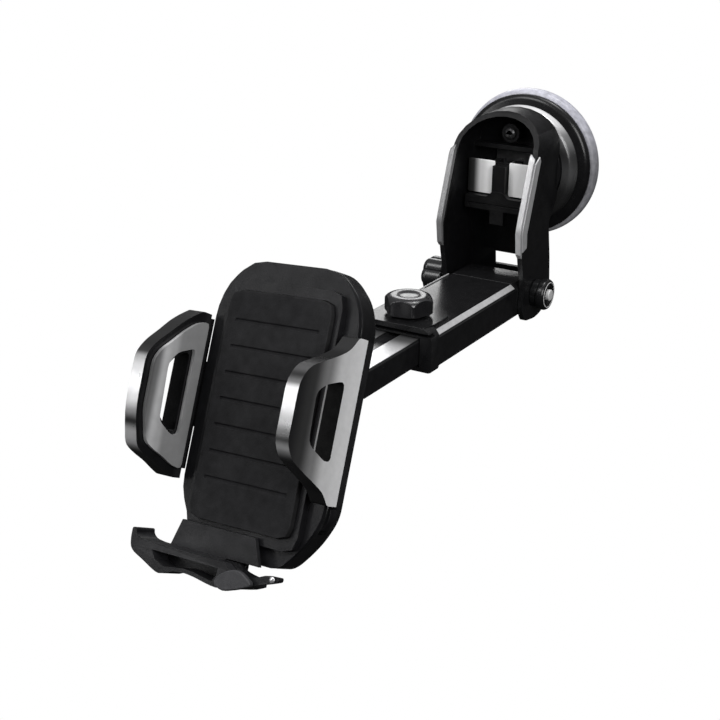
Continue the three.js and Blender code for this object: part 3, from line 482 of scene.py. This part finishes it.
def lobe(a, r, h):
    if h > -24.4 or r < 4:
        return r
    k = min(1.0, (r - 4) / 3)
    return r + 0.6 * k * (2 * abs(math.cos(3 * a)) ** 0.8 - 1)


lathe("side_knob", [(0, -35.9)] + rounded([(0, -35.9), (4.6, -35.9), (7.2, -35.0), (8.3, -33.4), (8.3, -25.2), (7.9, -24.5), (5.6, -24.3), (5.6, -22.7), (3.2, -22.7), (3.2, -30.2), (0, -30.2)],
      [0, 0.6, 0.9, 0.9, 0.3, 0.3, 0.2, 0.3, 0.1, 0.1, 0], 4, closed=False)[1:], "x", H, KNOB, "hinge_knob", ["hinge_knob"], 120, 40, wave=lobe)

# ------------------------------------------------------------------ outer arm
refine("outer_tube", BLACK, 0.0005, 3)
refine("outer_trim_right", SILVER, 0.00015, 2)
refine("outer_trim_left", SILVER, 0.00015, 2)
refine("tail_block", BLACK, 0.0005, 3)
refine("guide_right", POM, 0.0003, 2)
refine("guide_left", POM, 0.0003, 2)
refine("clamp_collar", BLACK, 0.0005, 3)
lathe("press_screw", rounded([(0, 5.35), (2.3, 5.35), (2.5, 5.6), (2.5, 14.0), (0, 14.0)], 0.15, 2), "z", A(0, -84, 0), STEEL, "thumb_knob", ["pressure_screw"], 48)


def hexagon(a, r, h):
    """A dome cut down by six broad, slightly hollow facets."""
    if h < 10.4:
        return r
    t = ((a - math.radians(10)) / math.radians(60)) % 1.0 * 2 - 1        # -1..1 from corner to corner
    flat = 9.55 * 1.0 / math.cos(math.radians(30) * t) - 0.25 * (1 - t * t) ** 2
    return min(r, flat, 10.7)


lathe("top_knob", [(0, 17.7)] + rounded([(0, 17.7), (3.4, 17.8), (5.4, 18.5), (7.4, 18.5), (9.2, 17.9), (10.4, 16.8), (10.9, 15.2), (10.9, 11.6), (10.4, 10.9), (7.2, 10.7), (7.2, 9.9), (2.8, 9.9), (2.8, 14.3), (0, 14.3)],
      [0, 1.4, 0.7, 0.9, 0.9, 0.9, 0.8, 0.4, 0.4, 0.2, 0.2, 0.1, 0.1, 0], 5, closed=False)[1:], "z", A(0, -84, 0), KNOB, "thumb_knob", ["thumb_knob"], 180, 24, wave=hexagon)

# ------------------------------------------------------------------ inner arm
refine("inner_tube", BLACK, 0.0004, 3)
refine("inner_strip_right", BAND_PAINTED_SHADE, 0.00012, 2)
refine("inner_strip_left", BAND_PAINTED_SHADE, 0.00012, 2)
refine("end_stop", POM, 0.0003, 2)
fl = -140.8 - 0.3 - (BALL - H).y * 1000
ballp = [(8.2 * math.cos(-math.pi / 2 + i * math.pi * 0.845 / 28), 8.2 * math.sin(-math.pi / 2 + i * math.pi * 0.845 / 28)) for i in range(29)]
ballp[0] = (0, -8.2)
lathe("ball_and_neck", ballp + rounded([(3.75, 7.5), (3.7, fl - 0.9), (5.5, fl - 0.5), (5.5, fl), (0, fl)], [0.1, 0.3, 0.2, 0.1, 0], 3, closed=False), "y", BALL, PLATE, "inner_arm", ["ball_stud"], 64, 40)

# ------------------------------------------------------------------ cradle body: lofted back shell, front frame, ribbed pad
outline = rounded([(-34, -36), (-29.4, -44.9), (-24.1, -51.6), (-18.6, -57.2), (18.6, -57.2), (24.1, -51.6), (29.4, -44.9), (34, -36), (34, 35), (30.5, 44.5), (20.5, 54), (-20.5, 54), (-30.5, 44.5), (-34, 35)],
                  [7, 7, 6, 4, 4, 6, 7, 7, 8, 8, 9, 9, 8, 8], 6)


def shrink(pts, d):
    out = []
    for x, y in pts:
        l = math.hypot(x, y)
        out.append((x * (l - d) / l, y * (l - d) / l))
    return out


def boolean(ob, tools, op="DIFFERENCE"):
    mats = ob.data.materials[0]
    for t in tools:
        md = ob.modifiers.new("cut", "BOOLEAN")
        md.operation = op
        md.object = t
        md.solver = "EXACT"
    bake(ob)
    for t in tools:
        bpy.data.objects.remove(t)
    shade(ob, mats, 35)
    return ob


def cutter(pts, lo, hi, place):
    bm = bmesh.new()
    a = [bm.verts.new(place(x, y, lo)) for x, y in pts]
    b = [bm.verts.new(place(x, y, hi)) for x, y in pts]
    k = len(pts)
    for j in range(k):
        bm.faces.new((a[j], a[(j + 1) % k], b[(j + 1) % k], b[j]))
    bm.faces.new(a[::-1])
    bm.faces.new(b)
    bmesh.ops.recalc_face_normals(bm, faces=bm.faces)
    me = bpy.data.meshes.new("cut")
    bm.to_mesh(me)
    bm.free()
    o = bpy.data.objects.new("cut", me)
    scn.collection.objects.link(o)
    return o


def rect(a0, a1, b0, b1, r=0.5):
    return rounded([(a0, b0), (a1, b0), (a1, b1), (a0, b1)], r, 3)


levels = [(-15.0, 6.0), (-14.9, 4.6), (-14.5, 3.2), (-13.8, 2.0), (-12.9, 1.0), (-11.9, 0.35), (-10.8, 0.0), (-4.0, 0.0), (-3.5, 0.15), (-3.2, 0.5)]
shell = loft("back_shell", [[C(x, y, n) for x, y in shrink(outline, d)] for n, d in levels], BLACK, "cradle", ["cradle_back"], smooth=35)
boolean(shell, [cutter(rect(-50, 50, -13.6, 13.6), -9.6, 0, C), cutter(rect(-13.4, -3.2, -70, -18), -13.3, -10.4, C),
                cutter(rect(22, 50, -41.5, -30.5), -8.6, -4.0, C), cutter(rect(14, 23, -40.5, -31.5), -8.6, -4.0, C)])
ballat = C(0, BV, 0)
lathe("socket_boss", [(0, -20.6), (4.2, -21.6), (7.2, -23.7), (9.2, -26.6), (10.2, -30.4)] + rounded([(10.2, -30.6), (11.2, -30.6), (11.2, -17.0), (13.2, -14.9), (0, -14.7)], [0.2, 0.3, 1.6, 0.4, 0], 4, closed=False), "n", ballat, BLACK, "cradle", [], 96)
lathe("gear_post", rounded([(0, -9.8), (2.6, -9.8), (2.6, -3.4), (0, -3.4)], 0.2, 2), "n", C(0, 0, 0), BLACK, "cradle", [], 48)
refine("cradle_front", BLACK_SOFT, 0.0005, 3, join=False)
refine("back_pad", RUBBER, 0.0003, 2, join=False)
for s in ("top_right", "top_left", "low_right", "low_left"):
    refine("cradle_screw_" + s, STEEL, 0.00015, 1)
refine("ball_seat_inner", POM, 0.0)
refine("ball_seat_outer", POM, 0.0)
lathe("lock_ring", rounded([(11.6, -38.6), (12.4, -38.6), (13.1, -37.2), (13.1, -24.2), (12.7, -23.6), (11.5, -23.6), (11.5, -31.5), (10.4, -33.0), (8.0, -35.6), (8.0, -36.4)], [0.2, 0.4, 0.7, 0.4, 0.3, 0.1, 0.2, 0.1, 0.2, 0.2], 4), "n", ballat, BLACK, "ball_nut", ["ball_nut"], 144, 40,
      wave=lambda a, r, h: r + (0.28 * (1 - abs(math.sin(a * 9)) ** 6 * 2) if r > 12.9 else 0))

# ------------------------------------------------------------------ clamps
# painted shade: the ear plating goes from near black at the front to bright silver at the back
EAR_PAINTED_SHADE = material("plating_painted_shade", "silver_satin", (0.86, 0.86, 0.865), 0.34, metal=0.25, vary=0.04, rvary=0.05, bump=0.06, nscale=420, bscale=3400, wear_and_edge_highlight=None,
               grad=(tuple(CN), C(0, 0, 32), C(0, 0, 2), [(0.0, (0.018, 0.018, 0.019)), (0.25, (0.05, 0.05, 0.05)), (0.48, (0.28, 0.28, 0.28)), (0.72, (0.85, 0.85, 0.85)), (1.0, (1, 1, 1))]))


def painted_highlight_band(name, marks):
    """Plating on the front edge with painted highlights and painted dark reflections in bands along its length."""
    top, bot = marks[0][0], marks[-1][0]
    stops = [((top - v) / (top - bot), (g, g, g)) for v, g in marks]
    return material(name, "silver_satin", (0.80, 0.80, 0.81), 0.30, metal=0.35, vary=0.04, rvary=0.05, bump=0.04, nscale=300, bscale=3000, wear_and_edge_highlight=None,
                    grad=(tuple(-CV), C(0, top, 0), C(0, bot, 0), stops))


# painted highlights and painted dark reflections along each ear's front edge
EDGE_R_PAINTED_HIGHLIGHTS = painted_highlight_band("edge_right_painted_highlights", [(30, 0.03), (19.5, 0.03), (15.5, 0.12), (13.0, 0.03), (10.5, 0.16), (7.5, 0.95), (2.0, 0.85), (-3.0, 0.45), (-7.5, 0.10), (-9.5, 0.05), (-12.5, 0.45), (-16.5, 0.05), (-30, 0.02)])
EDGE_L_PAINTED_HIGHLIGHTS = painted_highlight_band("edge_left_painted_highlights", [(31, 0.02), (15.0, 0.02), (12.0, 0.04), (9.5, 0.45), (5.5, 0.62), (0.0, 0.95), (-6.0, 0.62), (-11.0, 0.25), (-14.5, 0.02), (-18.5, 0.55), (-22.5, 0.50), (-26.0, 0.03), (-33, 0.02)])
for nm, sx, ed in (("right", 1, EDGE_R_PAINTED_HIGHLIGHTS), ("left", -1, EDGE_L_PAINTED_HIGHLIGHTS)):
    e_ = refine("clamp_ear_" + nm, EAR_PAINTED_SHADE, 0.0008, 4, bang=30)
    paint(e_, ed, lambda c, n, sx=sx: abs(n.dot(CU)) < 0.80)
    paint(e_, BLACK, lambda c, n, sx=sx: n.dot(CU) * sx < -0.80)
    # painted shade: the window's inner walls take the near-black finish
    paint(e_, RIM_PAINTED_SHADE, lambda c, n, sx=sx: abs(n.dot(CU)) < 0.97 and 7.4 < (c - CO).dot(CN) * 1000 < 23.4 and abs((c - CO).dot(CV) * 1000) < 15.6
          and (n.dot(CN) * (15 - (c - CO).dot(CN) * 1000) > 0.001 or n.dot(CV) * (-(c - CO).dot(CV)) > 0.00001) and -15.3 < (c - CO).dot(CV) * 1000 < 14.9)
refine("ear_pad_right", PADGREY, 0.0005, 3)
refine("ear_pad_left", PADGREY, 0.0005, 3)
refine("clamp_arm_right", BLACK, 0.00025, 2)
refine("clamp_arm_left", BLACK, 0.00025, 2)
refine("pinion", POM, 0.00015, 1)
refine("release_button", BLACK_SOFT, 0.0005, 3)
refine("button_leaf", STEEL, 0.0001, 1)

# ------------------------------------------------------------------ foot
refine("foot_stem", BLACK, 0.0004, 2)
refine("foot_tray", BLACK_SOFT, 0.0006, 3, join=False)
refine("foot_lip", GREY_NUB, 0.0008, 4)
refine("foot_pin", STEEL, 0.0002, 2)
